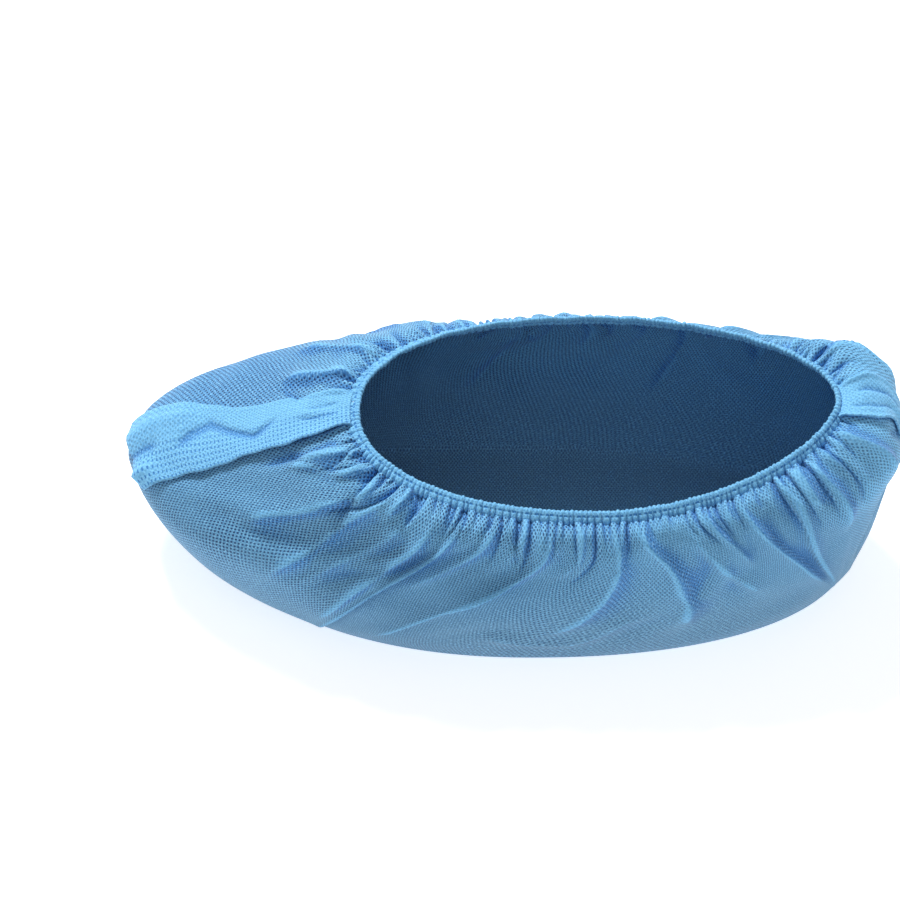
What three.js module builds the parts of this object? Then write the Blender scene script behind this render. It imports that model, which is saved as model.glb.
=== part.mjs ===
// A disposable shoe cover of thin non-woven cloth, in the form that it takes over a left shoe.
// One sheet makes the sole and the sides. It is closed by a seam at the toe and one at the heel,
// and its rim is folded over an elastic that gathers it round the ankle.
// Millimetres. +X points to the heel, +Y to the inner side of the foot, +Z up. It stands on z = 0.

import * as THREE from "three";

// Driving dimensions
const COVER_LENGTH = 297; // toe tip to back of heel, at the widest level
const COVER_WIDTH = 119; // outer side to inner side, at the widest level
const OPENING_LENGTH = 182; // front to back of the rim
const OPENING_WIDTH = 86; // side to side of the rim
const OPENING_SET_BACK = 31; // from the cover's middle back to the opening's middle
const OPENING_SET_IN = 1; // from the cover's middle to the opening's middle, towards the inner side
const INSTEP_HEIGHT = 81; // rim above the floor, in front
const OUTER_SIDE_HEIGHT = 72.5; // rim above the floor, at the outer side
const HEEL_HEIGHT = 89; // rim above the floor, behind
const INNER_SIDE_HEIGHT = 86.5; // rim above the floor, at the inner side

const CLOTH_WALL = 1; // thickness of the sheet
const CASING_WALL = 1; // thickness of the folded hem
const ELASTIC_THICKNESS = 1;
const ELASTIC_BREADTH = 2; // how far the elastic reaches down inside the hem
const FLAP_THICKNESS = 1.2; // a seam allowance is two sheets welded together
const SEAT_GAP = 0.3; // clearance between pieces that lie on each other
const HEM_OVERLAP = 1.8; // how far the hem reaches down over the sheet's edge
const RUFFLE_HEIGHT = 0.6; // how far each small gather of the hem stands out
const GATHER_HEIGHT = 0.9; // half the height of the gathers under the hem
const PUFF_REACH = 10; // how far the cloth puffs out beyond the rim
const FOLD_HEIGHT = 3; // how far a main fold stands out
const FLAP_LIFT = 1.2; // how far a seam allowance's free edge stands off
const TOE_SWING = 16; // how far the toe lies towards the inner side

// The rim's outline: 2 is an ellipse, and less is more pointed
const RIM_FULL_TOE = 2.3;
const RIM_FULL_HEEL = 1.85;

// Shares of the way down over which the gathers rise and then fade
const GATHER_RISE = 0.05;
const GATHER_FADE = 0.16;

// How finely the solids are cut
const GATHERS = 48;
const COLUMNS = 2 * GATHERS;
const OUTLINE_STEPS = 72;

// Where the sheet's edge and the straight strip that the hem holds lie, measured down from the rim
const ELASTIC_TOP = CASING_WALL + SEAT_GAP;
const ELASTIC_FOOT = ELASTIC_TOP + ELASTIC_BREADTH;
const SHEET_EDGE = ELASTIC_FOOT + SEAT_GAP;
const HEM_FOOT = SHEET_EDGE + HEM_OVERLAP;
const FREE_CLOTH = HEM_FOOT + 2 * SEAT_GAP;

// Levels of the sheet from the rim down, each a closed outline round the cover.
// toe and heel are shares of half the cover's length from its middle, outer and inner shares of half
// its width, swing a share of the toe's swing, and the heights shares of the rim's height at that side.
// full is the outline's power towards the toe and fullBack towards the heel: 2 is an ellipse, and more
// is fuller in the corners.
const LEVELS = [
  { name: "shoulder", toe: 0.79, heel: 0.985, outer: 0.93, inner: 0.93, swing: 0.9, full: 2.4,
    fullBack: 2.4, toeUp: 0.75, outerUp: 0.79, heelUp: 0.84, innerUp: 0.75 },
  { name: "belly", toe: 1, heel: 0.985, outer: 1.01, inner: 0.99, swing: 1, full: 2.4,
    fullBack: 2.35, toeUp: 0.51, outerUp: 0.46, heelUp: 0.54, innerUp: 0.42 },
  { name: "hip", toe: 0.93, heel: 0.95, outer: 1.01, inner: 0.94, swing: 0.95, full: 2.4,
    fullBack: 2.3, toeUp: 0.18, outerUp: 0.16, heelUp: 0.22, innerUp: 0.14 },
  { name: "foot", toe: 0.82, heel: 0.9, outer: 0.97, inner: 0.84, swing: 0.85, full: 2.3,
    fullBack: 2.2, toeUp: 0.02, outerUp: 0.02, heelUp: 0.02, innerUp: 0.02 },
];

// The hem's lean and the crest of the puffed cloth just outside it, from the toe round by the outer side.
// at is the place round the rim; lean is how steeply the hem runs down and outwards, in degrees; out is
// how far the crest lies out from the rim, and up how far above it, as shares of the puff's reach.
const CREST = [
  { at: 0, lean: 22, out: 1.5, up: -0.4 },
  { at: 0.125, lean: 38, out: 1.1, up: -0.42 },
  { at: 0.25, lean: 50, out: 0.85, up: -0.48 },
  { at: 0.375, lean: 52, out: 0.9, up: -0.42 },
  { at: 0.5, lean: 50, out: 1.2, up: -0.3 },
  { at: 0.545, lean: 52, out: 1.35, up: -0.2 },
  { at: 0.59, lean: 58, out: 0.85, up: -0.62 },
  { at: 0.64, lean: 66, out: 0.65, up: -0.85 },
  { at: 0.72, lean: 70, out: 0.62, up: -0.88 },
  { at: 0.8, lean: 70, out: 0.68, up: -0.84 },
  { at: 0.9, lean: 45, out: 1, up: -0.55 },
];

// How far the threads of the cloth have moved round the cover at each level, as shares of the way round.
// at is the thread's place at the rim.
const THREADS = [
  { at: 0, shoulder: 0.012, belly: 0.008, hip: 0, foot: 0 },
  { at: 0.05, shoulder: 0.026, belly: 0.019, hip: 0.005, foot: -0.005 },
  { at: 0.08, shoulder: 0.044, belly: 0.04, hip: 0.018, foot: -0.005 },
  { at: 0.12, shoulder: 0.053, belly: 0.048, hip: 0.022, foot: 0 },
  { at: 0.15, shoulder: 0.042, belly: 0.034, hip: 0.004, foot: -0.018 },
  { at: 0.2, shoulder: 0.04, belly: 0.022, hip: -0.016, foot: -0.036 },
  { at: 0.24, shoulder: 0.032, belly: 0.022, hip: -0.01, foot: -0.025 },
  { at: 0.28, shoulder: 0.03, belly: 0.045, hip: 0.035, foot: 0.03 },
  { at: 0.33, shoulder: 0.028, belly: 0.055, hip: 0.062, foot: 0.065 },
  { at: 0.38, shoulder: 0.013, belly: 0.042, hip: 0.06, foot: 0.07 },
  { at: 0.44, shoulder: 0, belly: 0.015, hip: 0.028, foot: 0.04 },
  { at: 0.48, shoulder: 0.002, belly: 0.01, hip: 0.012, foot: 0.015 },
  { at: 0.53, shoulder: -0.002, belly: -0.008, hip: -0.008, foot: -0.01 },
  { at: 0.58, shoulder: -0.005, belly: -0.02, hip: -0.03, foot: -0.03 },
  { at: 0.64, shoulder: -0.02, belly: -0.04, hip: -0.05, foot: -0.05 },
  { at: 0.72, shoulder: -0.03, belly: -0.035, hip: -0.02, foot: 0 },
  { at: 0.8, shoulder: -0.035, belly: -0.02, hip: 0.01, foot: 0.03 },
  { at: 0.86, shoulder: -0.045, belly: -0.035, hip: -0.005, foot: 0.01 },
  { at: 0.92, shoulder: -0.04, belly: -0.035, hip: -0.01, foot: 0 },
  { at: 0.96, shoulder: -0.015, belly: -0.01, hip: 0, foot: 0 },
];

// Shares of the way from the free cloth under the hem to the foot at which the rows of vertices lie
const ROWS = [0, 0.05, 0.11, 0.18, 0.26, 0.35, 0.45, 0.56, 0.67, 0.78, 0.89, 1];
// Rings of the sole, as shares of the foot's outline
const SOLE_RINGS = [0.93, 0.72, 0.4];

// The main folds of the sheet. at is the thread that the fold follows, from 0 at the toe by 0.25 at the
// outer side and 0.5 at the heel; lean is how far it has moved off that thread by the foot; wide its
// breadth, as a share of the way round; steep how much quicker it falls away towards the heel than
// towards the toe; high a share of the fold's height; from and to its ends on the way down.
const FOLDS = [
  { at: 0.043, lean: -0.03, wide: 0.014, steep: 1, high: 0.6, from: 0.02, to: 0.32 },
  { at: 0.067, lean: -0.014, wide: 0.018, steep: 1.4, high: 0.8, from: 0.03, to: 0.62 },
  { at: 0.081, lean: -0.004, wide: 0.018, steep: 1.6, high: 0.9, from: 0.05, to: 0.8 },
  { at: 0.103, lean: -0.014, wide: 0.016, steep: 1.2, high: 0.7, from: 0.06, to: 0.8 },
  { at: 0.12, lean: -0.006, wide: 0.018, steep: 1.6, high: 1.1, from: 0.05, to: 0.93 },
  { at: 0.144, lean: -0.02, wide: 0.02, steep: 2, high: 1.6, from: 0.04, to: 1 },
  { at: 0.168, lean: -0.03, wide: 0.018, steep: 1.4, high: 0.7, from: 0.05, to: 0.55 },
  { at: 0.212, lean: -0.027, wide: 0.02, steep: 1.8, high: 1.2, from: 0.04, to: 1 },
  { at: 0.241, lean: -0.02, wide: 0.016, steep: 1.2, high: 0.6, from: 0.03, to: 0.4 },
  { at: 0.27, lean: -0.02, wide: 0.02, steep: 1.8, high: 1.2, from: 0.03, to: 0.9 },
  { at: 0.289, lean: 0.02, wide: 0.018, steep: 1.6, high: 1.2, from: 0.03, to: 0.9 },
  { at: 0.318, lean: 0.04, wide: 0.012, steep: 0.6, high: 0.9, from: 0.08, to: 0.72 },
  { at: 0.346, lean: 0, wide: 0.014, steep: 1.2, high: 0.7, from: 0.04, to: 0.48 },
  { at: 0.37, lean: 0.03, wide: 0.018, steep: 1.6, high: 1.1, from: 0.03, to: 0.96 },
  { at: 0.412, lean: -0.012, wide: 0.01, steep: 0.5, high: 1.3, from: 0.03, to: 0.98 },
  { at: 0.438, lean: -0.006, wide: 0.016, steep: 1.4, high: 1, from: 0.04, to: 0.52 },
  { at: 0.457, lean: 0.01, wide: 0.012, steep: 1, high: 0.6, from: 0.04, to: 0.36 },
  { at: 0.473, lean: 0.004, wide: 0.013, steep: 1.2, high: 1, from: 0.03, to: 0.42 },
  { at: 0.556, lean: 0.01, wide: 0.016, steep: 1.4, high: 0.9, from: 0.03, to: 0.7 },
  { at: 0.585, lean: -0.02, wide: 0.014, steep: 0.7, high: 0.8, from: 0.04, to: 0.5 },
  { at: 0.615, lean: -0.01, wide: 0.018, steep: 0.6, high: 0.9, from: 0.05, to: 0.85 },
  { at: 0.652, lean: 0.02, wide: 0.018, steep: 1.4, high: 0.8, from: 0.05, to: 0.75 },
  { at: 0.69, lean: -0.02, wide: 0.02, steep: 0.6, high: 0.9, from: 0.06, to: 0.9 },
  { at: 0.728, lean: 0.02, wide: 0.018, steep: 0.7, high: 0.7, from: 0.05, to: 0.6 },
  { at: 0.762, lean: 0, wide: 0.02, steep: 0.6, high: 0.9, from: 0.05, to: 0.92 },
  { at: 0.8, lean: 0.02, wide: 0.018, steep: 0.7, high: 0.8, from: 0.05, to: 0.7 },
  { at: 0.834, lean: 0.02, wide: 0.02, steep: 0.5, high: 1, from: 0.04, to: 0.95 },
  { at: 0.868, lean: 0.01, wide: 0.016, steep: 0.6, high: 0.7, from: 0.04, to: 0.55 },
  { at: 0.9, lean: 0.02, wide: 0.018, steep: 0.5, high: 0.9, from: 0.04, to: 0.85 },
  { at: 0.932, lean: 0.012, wide: 0.016, steep: 0.7, high: 0.8, from: 0.03, to: 0.6 },
  { at: 0.962, lean: 0.02, wide: 0.012, steep: 0.8, high: 0.7, from: 0.03, to: 0.3 },
];

// The seam allowances, folded over towards the outer side. from and to are their columns round the
// cover, counted from the seam at the toe or the heel; the rows are those of the sheet; lift is how
// far the free edge stands off, as a share of the seam allowances' lift.
const FLAPS = [
  { name: "toe_seam_flap", seam: 0, from: -1, to: 2, topRow: 2, footRow: 9, lift: 1 },
  { name: "heel_seam_flap", seam: GATHERS, from: 2, to: -1, topRow: 2, footRow: 8, lift: 0.7 },
];

const clothMaterial = new THREE.MeshStandardMaterial({ color: 0x5fa8e6, roughness: 0.85, metalness: 0 });
const hemMaterial = new THREE.MeshStandardMaterial({ color: 0x74b6ee, roughness: 0.85, metalness: 0 });
const elasticMaterial = new THREE.MeshStandardMaterial({ color: 0xe9e4d6, roughness: 0.6, metalness: 0 });

// A number that changes smoothly from side to side round an outline
function bySide(turn, sides) {
  const along = Math.cos(turn);
  const across = Math.sin(turn);
  const end = along > 0 ? sides.toe : sides.heel;
  const side = across > 0 ? sides.outer : sides.inner;
  return end * along * along + side * across * across;
}

// A closed outline with full corners: turn is 0 at the toe and a quarter turn at the outer side
function outlinePoint(turn, outline) {
  const power = 2 / (Math.cos(turn) > 0 ? outline.full : outline.fullBack);
  const along = Math.sign(Math.cos(turn)) * Math.abs(Math.cos(turn)) ** power;
  const across = Math.sign(Math.sin(turn)) * Math.abs(Math.sin(turn)) ** power;
  const middle = (outline.heelX + outline.toeX) / 2;
  const reach = (outline.heelX - outline.toeX) / 2;
  const forward = Math.max(along, 0);
  const y = -across * (across > 0 ? outline.outerY : outline.innerY);
  return new THREE.Vector3(
    middle - along * reach,
    outline.middleY + y + outline.swing * forward * forward,
    bySide(turn, outline.heights),
  );
}

// The outline's points at equal steps along its length, starting at the toe, each moved on by a share of it
function evenLoop(pointAt, moveAt = () => 0) {
  const points = [];
  for (let k = 0; k < OUTLINE_STEPS; k++) {
    points.push(pointAt((2 * Math.PI * k) / OUTLINE_STEPS));
  }
  const curve = new THREE.CatmullRomCurve3(points, true, "centripetal");
  curve.arcLengthDivisions = 8 * OUTLINE_STEPS;
  const columns = Array.from({ length: COLUMNS }, (_, i) => i / COLUMNS);
  return columns.map((at) => curve.getPointAt((at + moveAt(at) + 1) % 1));
}

const rimHeights = {
  toe: INSTEP_HEIGHT,
  outer: OUTER_SIDE_HEIGHT,
  heel: HEEL_HEIGHT,
  inner: INNER_SIDE_HEIGHT,
};

const rimOutline = {
  toeX: OPENING_SET_BACK - OPENING_LENGTH / 2,
  heelX: OPENING_SET_BACK + OPENING_LENGTH / 2,
  outerY: OPENING_WIDTH / 2,
  innerY: OPENING_WIDTH / 2,
  middleY: OPENING_SET_IN,
  swing: 0,
  full: RIM_FULL_TOE,
  fullBack: RIM_FULL_HEEL,
  heights: rimHeights,
};

function levelOutline(level) {
  return {
    toeX: (-level.toe * COVER_LENGTH) / 2,
    heelX: (level.heel * COVER_LENGTH) / 2,
    outerY: (level.outer * COVER_WIDTH) / 2,
    innerY: (level.inner * COVER_WIDTH) / 2,
    middleY: 0,
    swing: level.swing * TOE_SWING,
    full: level.full,
    fullBack: level.fullBack,
    heights: {
      toe: level.toeUp * INSTEP_HEIGHT,
      outer: level.outerUp * OUTER_SIDE_HEIGHT,
      heel: level.heelUp * HEEL_HEIGHT,
      inner: level.innerUp * INNER_SIDE_HEIGHT,
    },
  };
}

const rim = evenLoop((turn) => outlinePoint(turn, rimOutline));

// One column of a table at a place round the rim, on a smooth curve through its rows
function tableAt(table, around, column) {
  const first = table.findLastIndex((row) => row.at <= around);
  const knot = (n) => {
    const lap = Math.floor(n / table.length);
    const row = table[n - lap * table.length];
    return { at: row.at + lap, value: row[column] };
  };
  const slope = (n) => (knot(n + 1).value - knot(n - 1).value) / (knot(n + 1).at - knot(n - 1).at);
  const start = knot(first);
  const end = knot(first + 1);
  const span = end.at - start.at;
  const t = (around - start.at) / span;
  const between = (1 - t) ** 2 * (1 + 2 * t) * start.value + t ** 2 * (3 - 2 * t) * end.value;
  return between + t * (1 - t) * span * ((1 - t) * slope(first) - t * slope(first + 1));
}

// At each column of the rim: which way is out, level with the floor
const outwards = rim.map((_, i) => {
  const next = rim[(i + 1) % COLUMNS];
  const last = rim[(i + COLUMNS - 1) % COLUMNS];
  return new THREE.Vector3(next.y - last.y, last.x - next.x, 0).normalize();
});

const crest = rim.map((point, i) => {
  const spot = point.clone().addScaledVector(outwards[i], PUFF_REACH * tableAt(CREST, i / COLUMNS, "out"));
  spot.z += PUFF_REACH * tableAt(CREST, i / COLUMNS, "up");
  return spot;
});

const levelLoops = LEVELS.map((level) => {
  const outline = levelOutline(level);
  return evenLoop((turn) => outlinePoint(turn, outline), (at) => tableAt(THREADS, at, level.name));
});

// At each column of the rim: which way the hem runs down, and which way it faces
const rimFrames = rim.map((point, i) => {
  const lean = THREE.MathUtils.degToRad(tableAt(CREST, i / COLUMNS, "lean"));
  const up = new THREE.Vector3(0, 0, 1);
  const down = outwards[i].clone().multiplyScalar(Math.cos(lean)).addScaledVector(up, -Math.sin(lean));
  const out = outwards[i].clone().multiplyScalar(Math.sin(lean)).addScaledVector(up, Math.cos(lean));
  return { point, down, out };
});

function onRim(i, below, outwards) {
  const frame = rimFrames[i];
  return frame.point.clone().addScaledVector(frame.down, below).addScaledVector(frame.out, outwards);
}

// The middle of the sheet's thickness as rows of points: the strip in the hem, the side, and the sole
function middleRows() {
  const rows = [rimFrames.map((_, i) => onRim(i, SHEET_EDGE, 0))];
  const sides = rimFrames.map((_, i) => {
    const knots = [onRim(i, FREE_CLOTH, 0), crest[i], ...levelLoops.map((loop) => loop[i])];
    const curve = new THREE.CatmullRomCurve3(knots, false, "centripetal");
    return ROWS.map((share) => curve.getPointAt(share));
  });
  ROWS.forEach((_, j) => rows.push(sides.map((side) => side[j])));
  const foot = rows[rows.length - 1];
  SOLE_RINGS.forEach((share) => {
    rows.push(
      foot.map((point, i) => {
        const across = foot[(COLUMNS - i) % COLUMNS];
        const middle = point.clone().add(across).multiplyScalar(0.5);
        const spot = middle.lerp(point, share);
        spot.z = CLOTH_WALL / 2;
        return spot;
      }),
    );
  });
  return rows;
}

// Which way the sheet faces at each of its points
function facings(rows) {
  return rows.map((row, j) =>
    row.map((_, i) => {
      if (j > ROWS.length) return new THREE.Vector3(0, 0, -1);
      if (j === 0) return rimFrames[i].out.clone();
      const around = new THREE.Vector3().subVectors(row[(i + 1) % COLUMNS], row[(i + COLUMNS - 1) % COLUMNS]);
      const downwards = new THREE.Vector3().subVectors(rows[j + 1][i], rows[j - 1][i]);
      return downwards.cross(around).normalize();
    }),
  );
}

const smooth = (t) => {
  const inside = Math.min(Math.max(t, 0), 1);
  return inside * inside * (3 - 2 * inside);
};

// How far the folds and gathers push the sheet out, at a place round the cover and on the way down
function foldHeight(around, down, column) {
  const fade = smooth(down / GATHER_RISE) * (1 - smooth((down - GATHER_RISE) / GATHER_FADE));
  let height = (column % 2 ? -1 : 1) * GATHER_HEIGHT * fade;
  for (const fold of FOLDS) {
    const inside = (down - fold.from) / (fold.to - fold.from);
    if (inside <= 0 || inside >= 1) continue;
    let off = around - (fold.at + fold.lean * down);
    off -= Math.round(off);
    const across = Math.abs(off) / (off > 0 ? fold.wide / fold.steep : fold.wide);
    if (across >= 1) continue;
    height += FOLD_HEIGHT * fold.high * Math.sin(Math.PI * inside ** 0.6) * (1 - smooth(across));
  }
  return height;
}

const middle = middleRows();
const facing = facings(middle);

// A point of the sheet, moved off the middle of its thickness
function sheetPoint(j, i, off) {
  const down = j >= 1 && j <= ROWS.length ? ROWS[j - 1] : 0;
  const fold = foldHeight(i / COLUMNS, down, i);
  const spot = middle[j][i].clone().addScaledVector(facing[j][i], off + fold);
  if (j === ROWS.length) spot.z = Math.max(spot.z, CLOTH_WALL / 2 + off * facing[j][i].z);
  return spot;
}

// A closed body from a list of points and of faces with three or four corners
function bodyOf(points, faces) {
  const positions = new Float32Array(points.flatMap((p) => [p.x, p.y, p.z]));
  const index = [];
  for (const [a, b, c, d] of faces) {
    index.push(a, b, c);
    if (d !== undefined) index.push(a, c, d);
  }
  const geometry = new THREE.BufferGeometry();
  geometry.setAttribute("position", new THREE.BufferAttribute(positions, 3));
  geometry.setIndex(index);
  geometry.computeVertexNormals();
  return geometry;
}

// The sheet: an outer and an inner skin, joined along the edge in the hem, and closed across the sole
function sheetGeometry() {
  const points = [];
  const faces = [];
  const last = middle.length - 1;
  const at = (skin, j, i) => (skin * middle.length + j) * COLUMNS + ((i + COLUMNS) % COLUMNS);
  for (const off of [CLOTH_WALL / 2, -CLOTH_WALL / 2]) {
    for (let j = 0; j <= last; j++) {
      for (let i = 0; i < COLUMNS; i++) points.push(sheetPoint(j, i, off));
    }
  }
  for (const skin of [0, 1]) {
    const add = (a, b, c, d) => faces.push(skin ? [a, b, c, d] : [d, c, b, a]);
    for (let j = 0; j < last; j++) {
      for (let i = 0; i < COLUMNS; i++) {
        add(at(skin, j, i), at(skin, j, i + 1), at(skin, j + 1, i + 1), at(skin, j + 1, i));
      }
    }
    const half = COLUMNS / 2;
    const close = (a, b, c) => faces.push(skin ? [a, b, c] : [c, b, a]);
    close(at(skin, last, 0), at(skin, last, 1), at(skin, last, -1));
    for (let i = 1; i < half - 1; i++) {
      add(at(skin, last, i), at(skin, last, i + 1), at(skin, last, -i - 1), at(skin, last, -i));
    }
    close(at(skin, last, half - 1), at(skin, last, half), at(skin, last, half + 1));
  }
  for (let i = 0; i < COLUMNS; i++) {
    faces.push([at(0, 0, i), at(0, 0, i + 1), at(1, 0, i + 1), at(1, 0, i)]);
  }
  return bodyOf(points, faces);
}

// A closed ring along the rim, from its cross-section: each corner is [below the rim, outwards]
function ringGeometry(cornersAt) {
  const corners = cornersAt(0).length;
  const points = [];
  const faces = [];
  for (let i = 0; i < COLUMNS; i++) {
    for (const [below, outwards] of cornersAt(i)) points.push(onRim(i, below, outwards));
  }
  for (let i = 0; i < COLUMNS; i++) {
    const here = i * corners;
    const next = ((i + 1) % COLUMNS) * corners;
    for (let k = 0; k < corners; k++) {
      const then = (k + 1) % corners;
      faces.push([here + k, next + k, next + then, here + then]);
    }
  }
  return bodyOf(points, faces);
}

// The hem: the rim's fold, open below, with a small gather at every second column
function hemSection(i) {
  const inside = CLOTH_WALL / 2 + SEAT_GAP;
  const outside = inside + CASING_WALL + (i % 2 ? 0 : RUFFLE_HEIGHT);
  const top = i % 2 ? 0 : -RUFFLE_HEIGHT / 2;
  return [
    [HEM_FOOT, outside],
    [top, outside],
    [top, -outside],
    [HEM_FOOT, -outside],
    [HEM_FOOT, -inside],
    [CASING_WALL, -inside],
    [CASING_WALL, inside],
    [HEM_FOOT, inside],
  ];
}

function elasticSection() {
  const half = ELASTIC_THICKNESS / 2;
  return [
    [ELASTIC_FOOT, half],
    [ELASTIC_TOP, half],
    [ELASTIC_TOP, -half],
    [ELASTIC_FOOT, -half],
  ];
}

// A seam allowance: a slab that lies on the sheet, its free edge a little off it
function flapGeometry(flap) {
  const step = Math.sign(flap.to - flap.from);
  const columns = [];
  for (let c = flap.from; c !== flap.to + step; c += step) columns.push((flap.seam + c + COLUMNS) % COLUMNS);
  const rows = flap.footRow - flap.topRow + 1;
  const points = [];
  for (const top of [1, 0]) {
    for (let j = flap.topRow; j <= flap.footRow; j++) {
      columns.forEach((i, k) => {
        const lift = FLAP_LIFT * flap.lift * (k / (columns.length - 1)) ** 2;
        const off = CLOTH_WALL / 2 + SEAT_GAP + lift + top * FLAP_THICKNESS;
        points.push(sheetPoint(j, i, off));
      });
    }
  }
  const wide = columns.length;
  const at = (skin, j, k) => (skin * rows + j) * wide + k;
  const faces = [];
  const add = (a, b, c, d) => faces.push(step > 0 ? [d, c, b, a] : [a, b, c, d]);
  for (let j = 0; j < rows - 1; j++) {
    for (let k = 0; k < wide - 1; k++) {
      add(at(0, j, k), at(0, j, k + 1), at(0, j + 1, k + 1), at(0, j + 1, k));
      add(at(1, j, k), at(1, j + 1, k), at(1, j + 1, k + 1), at(1, j, k + 1));
    }
    add(at(1, j, 0), at(0, j, 0), at(0, j + 1, 0), at(1, j + 1, 0));
    add(at(0, j, wide - 1), at(1, j, wide - 1), at(1, j + 1, wide - 1), at(0, j + 1, wide - 1));
  }
  for (let k = 0; k < wide - 1; k++) {
    add(at(1, 0, k), at(1, 0, k + 1), at(0, 0, k + 1), at(0, 0, k));
    add(at(0, rows - 1, k), at(0, rows - 1, k + 1), at(1, rows - 1, k + 1), at(1, rows - 1, k));
  }
  return bodyOf(points, faces);
}

function piece(name, geometry, material) {
  const mesh = new THREE.Mesh(geometry, material);
  mesh.name = name;
  return mesh;
}

const cover = new THREE.Group();
cover.add(piece("sheet", sheetGeometry(), clothMaterial));
cover.add(piece("hem", ringGeometry(hemSection), hemMaterial));
cover.add(piece("elastic", ringGeometry(elasticSection), elasticMaterial));
for (const flap of FLAPS) cover.add(piece(flap.name, flapGeometry(flap), clothMaterial));

// The origin is on the floor, under the middle of the cover
const box = new THREE.Box3().setFromObject(cover);
const centre = box.getCenter(new THREE.Vector3());
cover.position.set(-centre.x, -centre.y, -box.min.z);

export default cover;
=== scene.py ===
# A disposable shoe cover of thin non-woven cloth, in the form that it takes over a left shoe.
# Metres. +X points to the heel, +Y to the inner side of the foot, +Z up. It stands on z = 0.

import math

import bpy
import numpy as np
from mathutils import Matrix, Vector


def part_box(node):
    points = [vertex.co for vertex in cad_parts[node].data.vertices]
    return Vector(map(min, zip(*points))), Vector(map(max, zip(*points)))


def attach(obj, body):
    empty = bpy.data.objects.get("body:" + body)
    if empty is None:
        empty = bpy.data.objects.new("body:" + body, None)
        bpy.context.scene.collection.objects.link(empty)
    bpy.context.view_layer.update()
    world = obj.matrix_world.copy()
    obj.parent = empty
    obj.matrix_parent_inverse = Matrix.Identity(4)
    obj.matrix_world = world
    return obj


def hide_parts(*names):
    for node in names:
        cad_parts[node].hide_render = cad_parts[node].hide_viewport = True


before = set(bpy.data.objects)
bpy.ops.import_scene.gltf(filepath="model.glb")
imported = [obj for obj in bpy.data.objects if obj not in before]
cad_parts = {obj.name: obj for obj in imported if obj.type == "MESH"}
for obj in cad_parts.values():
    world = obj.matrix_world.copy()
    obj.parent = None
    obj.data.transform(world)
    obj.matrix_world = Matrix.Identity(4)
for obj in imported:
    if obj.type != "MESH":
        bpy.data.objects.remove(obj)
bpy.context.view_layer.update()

MM = 0.001

# The camera looks level with the cover's side, from 50 degrees above, as in the photograph.
# The photograph's frame is 900 pixels wide, and a millimetre of the cover takes 2.55 of them.
CAMERA_HEIGHT_ANGLE = math.radians(50)
CAMERA_DISTANCE = 1.45
CAMERA_ANGLE_OF_VIEW = math.radians(13.9)
CAMERA_TARGET = Vector((-25 * MM, 12 * MM, 44.3 * MM))


def make_camera():
    data = bpy.data.cameras.new("camera")
    data.angle = CAMERA_ANGLE_OF_VIEW
    data.sensor_fit = "HORIZONTAL"
    camera = bpy.data.objects.new("camera", data)
    bpy.context.scene.collection.objects.link(camera)
    back = Vector((0, -math.cos(CAMERA_HEIGHT_ANGLE), math.sin(CAMERA_HEIGHT_ANGLE)))
    camera.location = CAMERA_TARGET + back * CAMERA_DISTANCE
    camera.rotation_euler = (math.pi / 2 - CAMERA_HEIGHT_ANGLE, 0, 0)
    bpy.context.scene.camera = camera


make_camera()

# The cover's driving sizes
COVER_LENGTH = 297 * MM
COVER_WIDTH = 119 * MM
OPENING_LENGTH = 182 * MM
OPENING_WIDTH = 86 * MM
OPENING_SET_BACK = 31 * MM
OPENING_SET_IN = 1 * MM
OPENING_POWERS = (2.3, 1.85)
TOE_SWING = 16 * MM
# The rim's height above the floor at the toe, the outer side, the heel and the inner side
RIM_HEIGHTS = (81 * MM, 72.5 * MM, 89 * MM, 86.5 * MM)
CLOTH_THICKNESS = 0.35 * MM
DOUBLED_THICKNESS = 0.8 * MM

# The hem: a casing of cloth round an elastic, welded along a line below its top edge
HEM_HEIGHT = 5.4 * MM
HEM_WELD = 2.1 * MM
ELASTIC_MIDDLE = 2.3 * MM
SHEET_EDGE = 3.6 * MM

# The small beads along the hem's top edge, and the uneven steps between the creases below them
BEADS = 254
BEAD_COLUMNS = 8
CREASE_STEP = (1.5 * MM, 3.7 * MM)
RIM_GIRTH = 450 * MM
# How long the creases are, in millimetres: each share of them, counted up, with its shortest and longest
CREASE_LENGTHS = [(0.4, (5, 9)), (0.78, (9, 18)), (1, (18, 36))]
# How deep the creases are in millimetres: the least, and what a long one has beyond that
CREASE_DEPTH = 1.4
LONG_CREASE_DEPTH = 1.8
LONG_CREASE = 17
# How much the creases lean and bow, and how broad their crisp and soft sides are, in millimetres
CREASE_LEAN = 0.14
CREASE_BOW = 0.008
CREASE_CRISP = (0.32, 0.5)
CREASE_SOFT = (1.1, 2.4)
# How wide a crease is where it goes under the hem, and over what width it takes up cloth
CREASE_MOUTH = 0.42 * MM
CREASE_TAKE_UP = 0.8 * MM

# How finely the cloth is cut: its columns, its rows from the hem down, which get wider apart at two
# shares of the way, and the rings of its sole, as shares of the foot of its sides
COLUMNS = 1270
GATHERED_TO = 0.1
GATHERED_ROWS = 11
UPPER_TO = 0.22
UPPER_ROWS = 8
LOWER_ROWS = 34
SOLE_STEP = 5
SOLE_RINGS = np.concatenate([[0.96], np.linspace(0.88, 0.08, 9)])
OUTLINE_STEPS = 2880
# The cloth's girth before it was gathered
FLAT_GIRTH = 700 * MM
# One way round and one way down, as lengths on the puffed cloth, for the breadth of folds
FOLD_GIRTH = 650 * MM
FOLD_DEPTH = 105 * MM

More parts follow.
